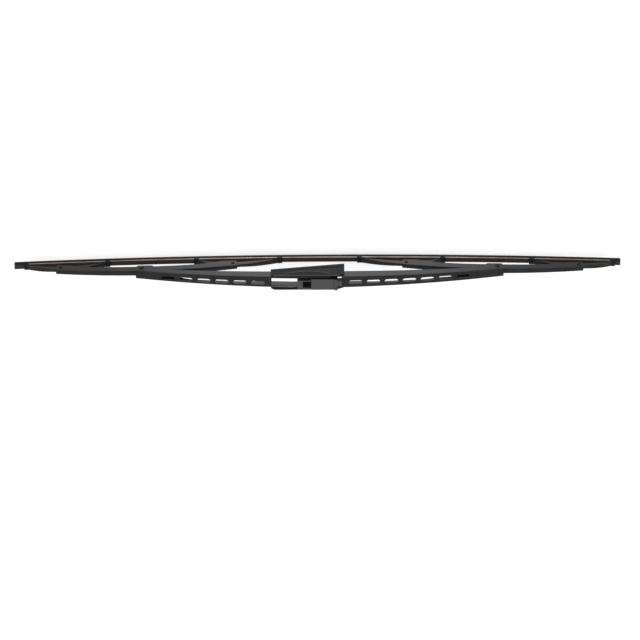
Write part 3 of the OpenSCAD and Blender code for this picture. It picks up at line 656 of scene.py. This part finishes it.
def rivet_tree():
    """A rivet along Y: a shank and two domed heads."""
    t = ShapeTree("Rivets", [("Shank", "Float", 0.003), ("Head", "Float", 0.005), ("Dome", "Float", 0.0009),
                             ("Seat", "Float", 0.005), ("Place", "Vector", None)])
    g = t.given
    r = t.math("MULTIPLY", g["Head"], 0.5)
    disc = t.node("GeometryNodeMeshCylinder", {"Radius": r, "Depth": g["Dome"], "Vertices": 40, "Fill Segments": 7})
    at = t.split(t.node("GeometryNodeInputPosition").outputs[0])
    flat = t.math("SQRT", t.math("ADD", t.math("MULTIPLY", at["X"], at["X"]), t.math("MULTIPLY", at["Y"], at["Y"])))
    away = t.math("DIVIDE", flat, r)
    # the dome falls away from its middle, to a rim of a fifth of its height
    sunk = t.math("MULTIPLY", t.math("POWER", away, 2.6), g["Dome"])
    is_top = t.math("GREATER_THAN", at["Z"], 0.0)
    half = t.math("MULTIPLY", g["Dome"], 0.5)
    lower = t.math("MULTIPLY", t.math("MULTIPLY", sunk, is_top), -0.8)
    shift = t.node("ShaderNodeCombineXYZ", {"Z": t.math("ADD", t.math("ADD", lower, half), g["Seat"])})
    dome = t.node("GeometryNodeSetPosition", {"Geometry": disc.outputs["Mesh"], "Offset": shift.outputs[0]})
    shank = t.node("GeometryNodeMeshCylinder", {"Radius": t.math("MULTIPLY", g["Shank"], 0.5), "Vertices": 32,
                                                "Depth": t.math("MULTIPLY", g["Seat"], 2.01)})
    turned = t.node("GeometryNodeTransform", {"Geometry": dome.outputs[0], "Rotation": (math.pi, 0, 0)})
    joined = t.node("GeometryNodeJoinGeometry")
    for part in (dome.outputs[0], turned.outputs[0], shank.outputs["Mesh"]):
        t.put(part, joined.inputs[0])
    upright = t.node("GeometryNodeTransform", {"Geometry": joined.outputs[0], "Translation": g["Place"],
                                               "Rotation": (math.pi / 2, 0, 0)})
    return t.end(upright.outputs[0])


class PieceOperator(bpy.types.Operator):
    """Base of the operators that make pieces"""

    bl_options = {"REGISTER"}


def flange_arch(x):
    """Lower edge of the main bridge's flange, before cheek and ears."""
    return arch(x, MAIN["top"] - MAIN["flange"], MAIN["edge"])


def main_edge(x):
    """Lower edge of the main bridge's flange, with the cheek round the pin and the ears at the tips."""
    m = MAIN
    x = abs(x)
    side, low = 0.6 * m["cheek"], -0.8 * m["cheek"]  # the cheek's arc ends there
    end = side + m["cheek_ramp"]
    if x < side:
        return -math.sqrt(m["cheek"] ** 2 - x * x)
    if x < end:
        return low + (flange_arch(end) - low) * (x - side) / (end - side)
    flat, ear_z, ear_x = X_SEC - m["ear_l"], Z_SEC - m["ear"], X_SEC + m["tip"] - m["ear"]
    start = flat - m["ramp"]
    if x < start:
        return flange_arch(x)
    if x < flat:
        return flange_arch(start) + (ear_z - flange_arch(start)) * (x - start) / (flat - start)
    if x < ear_x:
        return min(flange_arch(x), ear_z)
    return Z_SEC - math.sqrt(max(0.0, m["ear"] ** 2 - (x - ear_x) ** 2))


def smooth(value, start, end):
    """0 before start, 1 past end, smooth between them."""
    t = min(1.0, max(0.0, (value - start) / (end - start)))
    return t * t * (3 - 2 * t)


def far_flange_edge(x):
    """Lower edge of the hidden flange: shallower halfway to the tips, deeper just before the ears."""
    away = abs(x)
    if away > X_SEC - MAIN["ear_l"]:
        return main_edge(x)
    rise, back, deep = FAR_EDGE[-1 if x < 0 else 1]
    shallow = FAR_SHALLOW * smooth(away, *rise) * (1 - smooth(away, *back))
    return shallow + min(main_edge(x), flange_arch(x) - FAR_DEEP * smooth(away, *deep))


class WIPER_OT_main_bridge(PieceOperator):
    """Main bridge: an arched channel with wind slots and the opening for the adapter"""

    bl_idname = "wiper.main_bridge"
    bl_label = "Main bridge"

    def execute(self, context):
        m, s = MAIN, sizes()
        tip, cheek, ears = X_SEC + m["tip"], 0.6 * m["cheek"], X_SEC - m["ear_l"]
        marks = [0, cheek, cheek + m["cheek_ramp"], ears, ears - m["ramp"]]
        marks += curve_marks(0, cheek, 6) + curve_marks(tip - m["ear"], m["ear"])
        right = samples(0, tip, marks, s.station / MM)
        slope = (m["half_mid"] - m["half_tip"]) / tip
        stations = [(x, m["half_mid"] - abs(x) * slope, arch(x, m["top"], m["arch"]), main_edge(x),
                     far_flange_edge(x)) for x in [-v for v in reversed(right)] + right[1:]]
        bm = bmesh.new()
        add_channel(bm, stations, m["sheet"])
        bridge = finish_mesh(bm, "main_bridge_sheet", "steel")
        cutters = self.slots(s) + self.openings()
        for c in cutters:
            cutting = bridge.modifiers.new(c.name, "BOOLEAN")
            cutting.object, cutting.operation, cutting.solver = c, "DIFFERENCE", "EXACT"
        apply_modifiers(bridge)
        for c in cutters:
            bpy.data.objects.remove(c)
        round_edges(bridge, s.edge_round)
        dress(bridge, "main_bridge", "painted_steel", "main_bridge")
        return {"FINISHED"}

    def slots(self, s):
        """Cutters of the two rows of slots."""
        o, half = OPENING, s.slot_length / 2
        rows = [((o["far_side"] + o["web"]) * MM + half, s.slot_pitch, SLOTS_FAR, s.slot_aside),
                (-(o["arm_side"] + o["web"]) * MM - half, -s.slot_pitch, SLOTS_ARM, s.slot_aside_arm)]
        tree = slot_tree()
        return [tree.make("slots", Material=finish_for("steel"), First=first, Count=count, Pitch=pitch, Aside=aside,
                          Length=s.slot_length, Width=s.slot_width, Depth=0.03)
                for first, pitch, count, aside in rows]

    def openings(self):
        """Cutters of the relief beside the adapter's opening, the opening, and the notch in the bends at its far
        end. They reach well past the sheet where their size doesn't show."""
        m, o, r = MAIN, OPENING, RELIEF
        return [box_cutter("relief", (r["length"], r["width"], 10), (r["x"], r["y"], 8)),
                box_cutter("opening", (o["arm_side"] + o["far_side"], o["width"], 30),
                           ((o["far_side"] - o["arm_side"]) / 2, 0, 12), o["corner"]),
                box_cutter("notch", (o["far_side"] - m["notch"], 40, 10),
                           ((o["far_side"] + m["notch"]) / 2, 0, m["top"] - m["notch_drop"] + 5))]


def sec_back(x):
    """Height of the back of the right secondary bridge."""
    return arch(x - X_SEC - SEC["crown"], Z_SEC + SEC["rise"], SEC["arch"])


def sec_edge(x):
    """Lower edge of its flanges, with a foot round each yoke's rivet."""
    s = SEC

    def plain(at):
        return arch(at - X_SEC - s["crown"], Z_SEC + s["rise"] - s["flange"], s["arch"] - s["flange"])

    corner, in_foot, out_foot = SEC_CORNER, Z_IN - s["ear"], Z_OUT - s["ear"]
    (in_x, out_x), (in_end, out_end), (in_ramp, out_ramp) = SEC_ENDS, SEC_FEET, SEC_RAMPS
    if x < in_x + corner:
        return in_foot + corner - math.sqrt(max(0, corner ** 2 - (in_x + corner - x) ** 2))
    if x < in_end:
        return in_foot
    if x < in_ramp:
        return in_foot + (plain(in_ramp) - in_foot) * (x - in_end) / s["in_ramp"]
    if x < out_ramp:
        return plain(x)
    if x < out_end:
        return plain(out_ramp) + (out_foot - plain(out_ramp)) * (x - out_ramp) / s["out_ramp"]
    if x < out_x - corner:
        return out_foot
    return out_foot + corner - math.sqrt(max(0, corner ** 2 - (x - out_x + corner) ** 2))


class WIPER_OT_secondary_bridges(PieceOperator):
    """Secondary bridges: narrower channels with ears round the yoke rivets"""

    bl_idname = "wiper.secondary_bridges"
    bl_label = "Secondary bridges"

    def execute(self, context):
        s = SEC
        (in_x, out_x), corner = SEC_ENDS, SEC_CORNER
        marks = [*SEC_FEET, *SEC_RAMPS, X_SEC]
        marks += curve_marks(in_x + corner, corner) + curve_marks(out_x - corner, corner)
        stations = []
        for x in samples(in_x, out_x, marks, sizes().station / MM):
            reach = X_SEC - X_IN if x < X_SEC else X_OUT - X_SEC
            half = s["half"] - (s["half"] - s["half_end"]) * abs(x - X_SEC) / reach
            stations.append((x, half, sec_back(x), sec_edge(x)))
        for side, mirrored in SIDES:
            bm = bmesh.new()
            add_channel(bm, stations, s["sheet"], MIRROR if mirrored else Matrix())
            obj = finish_mesh(bm, f"{side}_secondary_sheet", "steel")
            round_edges(obj, sizes().edge_round)
            dress(obj, f"{side}_secondary", "painted_steel", f"{side}_secondary_bridge")
        return {"FINISHED"}


def claw_outline():
    """Outer and inner outline of a claw's section in Y and Z, from one finger's tip to the other's."""
    c, top = CLAW, YOKE["claw_top"]
    low_in, low = c["foot"] - c["play"], c["foot"] - c["finger"] + c["play"]
    top_in, half, gap = c["inner_top"], c["inner"], c["gap"] / 2
    out = half + c["wall"]
    outer, inner = [(-gap, low)], [(-gap, low_in)]
    for side, up, quarter in ((-1, -1, 180), (-1, 1, 90), (1, 1, 0), (1, -1, 270)):
        oz, iz = (top, top_in) if up > 0 else (low, low_in)
        r_out, r_in = c["round"] if up > 0 else c["finger_round"], c["round_in"]
        for k in range(BEND_STEPS + 1):
            a = math.radians(quarter + 90 - 90 * k / BEND_STEPS)
            outer.append((side * (out - r_out) + r_out * math.cos(a), oz - up * r_out + r_out * math.sin(a)))
            inner.append((side * (half - r_in) + r_in * math.cos(a), iz - up * r_in + r_in * math.sin(a)))
    outer.append((gap, low))
    inner.append((gap, low_in))
    return outer, inner


def yoke_stations(kind):
    """Cross sections of a yoke, in the axes of its rivet's place on the strip."""
    y, c = YOKE, CLAW
    arms = dict(zip((-1, 1), YOKE_ARMS[kind]))
    # the part under the secondary bridge stays narrow
    narrow = {-1: y["free"], 1: y["hidden"]} if kind == "inner" else {-1: y["hidden"], 1: y["free"]}
    wide = c["inner"] + c["wall"] - y["lap"]
    drop, edge_drop = y["top"] - y["claw_top"] + y["lap"], y["edge"] - c["inner_top"] - y["lap"]
    marks = [0, -narrow[-1], narrow[1], -y["flat"] / 2, y["flat"] / 2]
    stations = []
    for x in samples(-arms[-1], arms[1], marks, sizes().station / MM):
        toward = 1 if x >= 0 else -1
        arm = arms[toward]
        past = max(0.0, abs(x) - narrow[toward])
        half = y["half"] + (wide - y["half"]) * min(1.0, past / (arm - narrow[toward]))
        back = arch(x, y["top"], arch_radius(arm, drop)) - y["step"] * min(1, past / 2)
        edge = arch(x, y["edge"], arch_radius(arm, edge_drop)) + (y["trim"] if abs(x) <= y["flat"] / 2 else 0)
        stations.append((x, half, back, edge))
    return stations


class WIPER_OT_yokes(PieceOperator):
    """Yokes: the smallest channels, each with two claws that hold the strip"""

    bl_idname = "wiper.yokes"
    bl_label = "Yokes"

    def execute(self, context):
        reach = CLAW["length"] / 2
        claw = [(x, *claw_outline()) for x in (-reach, reach)]
        for side, mirrored in SIDES:
            for kind, pivot in (("inner", X_IN), ("outer", X_OUT)):
                inward, outward = YOKE_ARMS[kind]
                bm = bmesh.new()
                add_channel(bm, yoke_stations(kind), YOKE["sheet"], on_strip(pivot, mirrored))
                for place in (pivot - inward, pivot + outward):
                    add_band(bm, claw, on_strip(place, mirrored))
                obj = finish_mesh(bm, f"{side}_{kind}_yoke_sheet", "steel")
                round_edges(obj, sizes().edge_round)
                dress(obj, f"{side}_{kind}_yoke", "painted_steel", f"{side}_{kind}_yoke")
        return {"FINISHED"}


def closed_outline(name, points):
    """A closed outline as a mesh of edges for a sweep, which turns it by half a turn."""
    mesh = bpy.data.meshes.new(name)
    edges = [(k, (k + 1) % len(points)) for k in range(len(points))]
    mesh.from_pydata([(-x * MM, -y * MM, 0) for x, y in points], edges, [])
    return new_object(name, mesh)


def rubber_outline():
    """Section of the rubber, across and up: lip, shoulders, neck, and head with the rails' grooves."""
    half = [(0.4, 0), (0.55, 1.7), (1.2, 2.75), (2.15, 3.2), (2.3, 3.34), (2.3, 3.94), (0.6, 3.96), (0.55, 4.1),
            (0.55, 4.9), (0.65, 5.04), (2.85, 5.04), (3.0, 5.19), (3.0, 6.05), (2.86, 6.19), (0.9, 6.19),
            (0.9, 7.2), (2.8, 7.2), (3.0, 7.35), (3.0, 7.65), (2.88, 7.9), (2.6, 8.0)]
    return half + [(-x, z) for x, z in reversed(half)]


def rail_outline(side):
    """Section of a rail with its rolled edges."""
    a, b, low, high, r = side * 0.93, side * 3.24, 6.22, 7.17, 0.18
    near, far = a + side * r, b - side * r
    return [(a, low + r), (near, low), (far, low), (b, low + r),
            (b, high - r), (far, high), (near, high), (a, high - r)]


class WIPER_OT_strip(PieceOperator):
    """Rubber strip and its two rails, in four lengths that follow the yokes"""

    bl_idname = "wiper.strip"
    bl_label = "Rubber strip and rails"

    def execute(self, context):
        tree = sweep_tree()
        low, high = STRIP_BOX[0].x, STRIP_BOX[1].x
        meet, end = HALF_MEETS * MM, RAIL_END * MM
        lengths = [("left_outer", low, -meet), ("left_inner", -meet, 0.0),
                   ("right_inner", 0.0, meet), ("right_outer", meet, high)]
        kinds = [("rubber", rubber_outline(), "rubber", "rubber", "rubber_strip", low, high),
                 ("near_rail", rail_outline(1), "rail", "rail_steel", "rail_near_side", -end, end),
                 ("far_rail", rail_outline(-1), "rail", "rail_steel", "rail_far_side", -end, end)]
        for kind, outline, finish, slot, node, first, last in kinds:
            section = closed_outline(kind + "_section", outline)
            for place, x0, x1 in lengths:
                obj = tree.make(f"{kind}_{place}", Material=finish_for(finish), Section=section,
                                From=max(x0, first), To=min(x1, last), Bow_radius=sizes().bow_radius,
                                Stations=60, Drop=PIN_H * MM)
                dress(obj, place + "_yoke", slot, node)
            bpy.data.objects.remove(section)
        return {"FINISHED"}


class WIPER_OT_adapter(PieceOperator):
    """Adapter for the arm's hook, from the CAD shape with rounded edges, and the floors of its skirts' recesses"""

    bl_idname = "wiper.adapter"
    bl_label = "Adapter"

    def execute(self, context):
        bm = bmesh.new()
        bm.from_mesh(frame["nodes"]["adapter"].data)
        bmesh.ops.remove_doubles(bm, verts=bm.verts, dist=2e-6)
        bmesh.ops.dissolve_limit(bm, angle_limit=math.radians(1.5), verts=bm.verts, edges=bm.edges)
        moulding = finish_mesh(bm, "adapter_moulding", "plastic", scale=1.0)
        round_edges(moulding, sizes().moulded_round)
        dress(moulding, "adapter", "adapter_plastic", "adapter")
        for side, sign in (("near", 1), ("far", -1)):
            bm = bmesh.new()
            rings = [[bm.verts.new((x, sign * y, z)) for x, z in SKIRT_RECESS] for y in RECESS_Y]
            for ring in rings:
                bm.faces.new(ring)
            for k in range(len(SKIRT_RECESS)):
                m = (k + 1) % len(SKIRT_RECESS)
                bm.faces.new((rings[0][k], rings[0][m], rings[1][m], rings[1][k]))
            obj = finish_mesh(bm, f"adapter_{side}_recess", "plastic")
            dress(obj, "adapter", "adapter_plastic")
        return {"FINISHED"}


class WIPER_OT_rivets(PieceOperator):
    """Rivets of the bridges and yokes, and the pin of the adapter"""

    bl_idname = "wiper.rivets"
    bl_label = "Rivets and pin"

    def execute(self, context):
        tree = rivet_tree()
        # node, body, diameters of shank and head, height of the head
        jobs = [("adapter_pin", "main_bridge", 0.0046, 0.007, 0.0008)]
        for side, _ in SIDES:
            jobs.append((f"{side}_bridge_rivet", "main_bridge", 0.0032, 0.0056, 0.0009))
            for kind in ("inner", "outer"):
                jobs.append((f"{side}_{kind}_yoke_rivet", f"{side}_secondary", 0.0022, 0.004, 0.0009))
        for node, body, shank, head, dome in jobs:
            low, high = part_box(node)
            centre = (low + high) / 2
            obj = tree.make(node + "_steel", smooth=50, Material=finish_for("rivet"), Shank=shank, Head=head,
                            Dome=dome, Seat=(high.y - low.y) / 2 - dome, Place=(centre.x, 0.0, centre.z))
            dress(obj, body, "rivet_steel", node)
        return {"FINISHED"}


class WIPER_OT_liners(PieceOperator):
    """Plastic liners between main and secondary bridges, which keep their CAD shape"""

    bl_idname = "wiper.liners"
    bl_label = "Liners"

    def execute(self, context):
        for side, _ in SIDES:
            node = frame["nodes"][f"{side}_bridge_liner"]
            node.data.materials.clear()
            node.data.materials.append(finish_for("liner"))
        return {"FINISHED"}


class WIPER_OT_stage(bpy.types.Operator):
    """Floor, room, lamps and camera"""

    bl_idname = "wiper.stage"
    bl_label = "Stage"

    def execute(self, context):
        scene = context.scene
        st = scene.wiper_stage
        scene.view_settings.view_transform = "Standard"
        bm = bmesh.new()
        bmesh.ops.create_grid(bm, x_segments=1, y_segments=1, size=6)
        mesh = bpy.data.meshes.new("floor")
        bm.to_mesh(mesh)
        bm.free()
        # a hair under the lip, so that the two never share a plane
        mesh.transform(Matrix.Translation((0, 0, cad_box[0].z - 0.0004)))
        floor = new_object("floor", mesh)
        mesh.materials.append(self.floor_material(st))
        self.world(scene, st)
        for name, side in (("Right lamp", 1), ("Left lamp", -1)):
            self.lamp(name, side, st)
        self.camera(scene, st)
        return {"FINISHED"}

    def floor_material(self, st):
        """Pale and matt. Reflections see a painted pool of light, where the floor glows under the blade's middle;
        the camera sees an even floor.
        """
        s = Shade("Studio floor")
        ray = s.node("ShaderNodeLightPath").outputs
        # painted light, seen only in reflections: bright within 70 mm of the middle, gone at 270 mm
        pool = s.ramp(s.math("ABSOLUTE", s.place["X"]), st.floor_pool, 0.0, 0.07, 0.27, "SMOOTHSTEP")
        reflected = s.math("MAXIMUM", ray["Is Glossy Ray"], ray["Is Transmission Ray"])
        seen = s.math("MULTIPLY", ray["Is Camera Ray"], st.floor_white)
        glow = s.math("ADD", seen, s.math("MULTIPLY", reflected, pool))
        return s.set(base_color=(st.floor_tone,) * 3 + (1,), roughness=0.9, emission_color=(1, 1, 1, 1),
                     emission_strength=glow)

    def world(self, scene, st):
        """White for the camera. For everything else a room with pale ends and dim sides."""
        world = bpy.data.worlds.new("Studio")
        scene.world = world
        world.use_nodes = True
        t = Tree(world.node_tree)
        back = t.tree.nodes["Background"]
        t.put((1, 1, 1, 1), back.inputs["Color"])
        way = t.split(t.node("ShaderNodeTexCoord").outputs["Generated"])
        room = t.ramp(t.math("ABSOLUTE", way["X"]), st.world_dim, st.world, 0.35, 0.8, "SMOOTHSTEP")
        seen = t.node("ShaderNodeLightPath").outputs["Is Camera Ray"]
        t.put(t.ramp(seen, room, 1.0, 0.0, 1.0), back.inputs["Strength"])

    def lamp(self, name, side, st):
        data = bpy.data.lights.new(name, "AREA")
        data.energy, data.size = st.end_lamp, st.lamp_size
        obj = new_object(name, data)
        obj.location = (side * st.lamp_distance, st.lamp_aside, st.lamp_height)
        obj.rotation_euler = (-obj.location).to_track_quat("-Z", "Y").to_euler()

    def camera(self, scene, st):
        """The photo's view: from behind and above, upside down."""
        data = bpy.data.cameras.new("Camera")
        data.lens, data.sensor_width = st.lens, 36.0
        data.clip_start, data.clip_end = 0.1, 20
        obj = new_object("Camera", data)
        distance = st.frame_width * st.lens / data.sensor_width
        sine, cosine = math.sin(st.elevation), math.cos(st.elevation)
        right, up, back = Vector((1, 0, 0)), Vector((0, sine, -cosine)), Vector((0, cosine, sine))
        turn = Matrix((right, up, back)).transposed().to_4x4() @ Matrix.Rotation(st.tilt, 4, "Z")
        obj.matrix_world = Matrix.Translation(Vector((0, -st.aim, st.aim)) + back * distance) @ turn
        scene.camera = obj


class WIPER_PT_panel(bpy.types.Panel):
    """Lists the steps that build the wiper blade"""

    bl_idname = "WIPER_PT_panel"
    bl_label = "Wiper blade"
    bl_space_type = "VIEW_3D"
    bl_region_type = "UI"
    bl_category = "Wiper blade"

    def draw(self, context):
        for group in (context.scene.wiper_sizes, context.scene.wiper_colours, context.scene.wiper_stage):
            for key in group.__annotations__:
                self.layout.prop(group, key)
        for step in STEPS:
            self.layout.operator(step.bl_idname)


GROUPS = {"wiper_sizes": BladeSizes, "wiper_colours": BladeColours, "wiper_stage": StageSettings}
STEPS = (WIPER_OT_main_bridge, WIPER_OT_secondary_bridges, WIPER_OT_yokes, WIPER_OT_strip, WIPER_OT_adapter,
         WIPER_OT_rivets, WIPER_OT_liners, WIPER_OT_stage)


def register():
    for cls in (*GROUPS.values(), *STEPS, WIPER_PT_panel):
        bpy.utils.register_class(cls)
    for name, cls in GROUPS.items():
        setattr(bpy.types.Scene, name, bpy.props.PointerProperty(type=cls))


def unregister():
    for name in GROUPS:
        delattr(bpy.types.Scene, name)
    for cls in (WIPER_PT_panel, *STEPS[::-1], *GROUPS.values()):
        bpy.utils.unregister_class(cls)


def main():
    register()
    for step in STEPS:
        group, name = step.bl_idname.split(".")
        getattr(getattr(bpy.ops, group), name)()


if __name__ == "__main__":
    main()
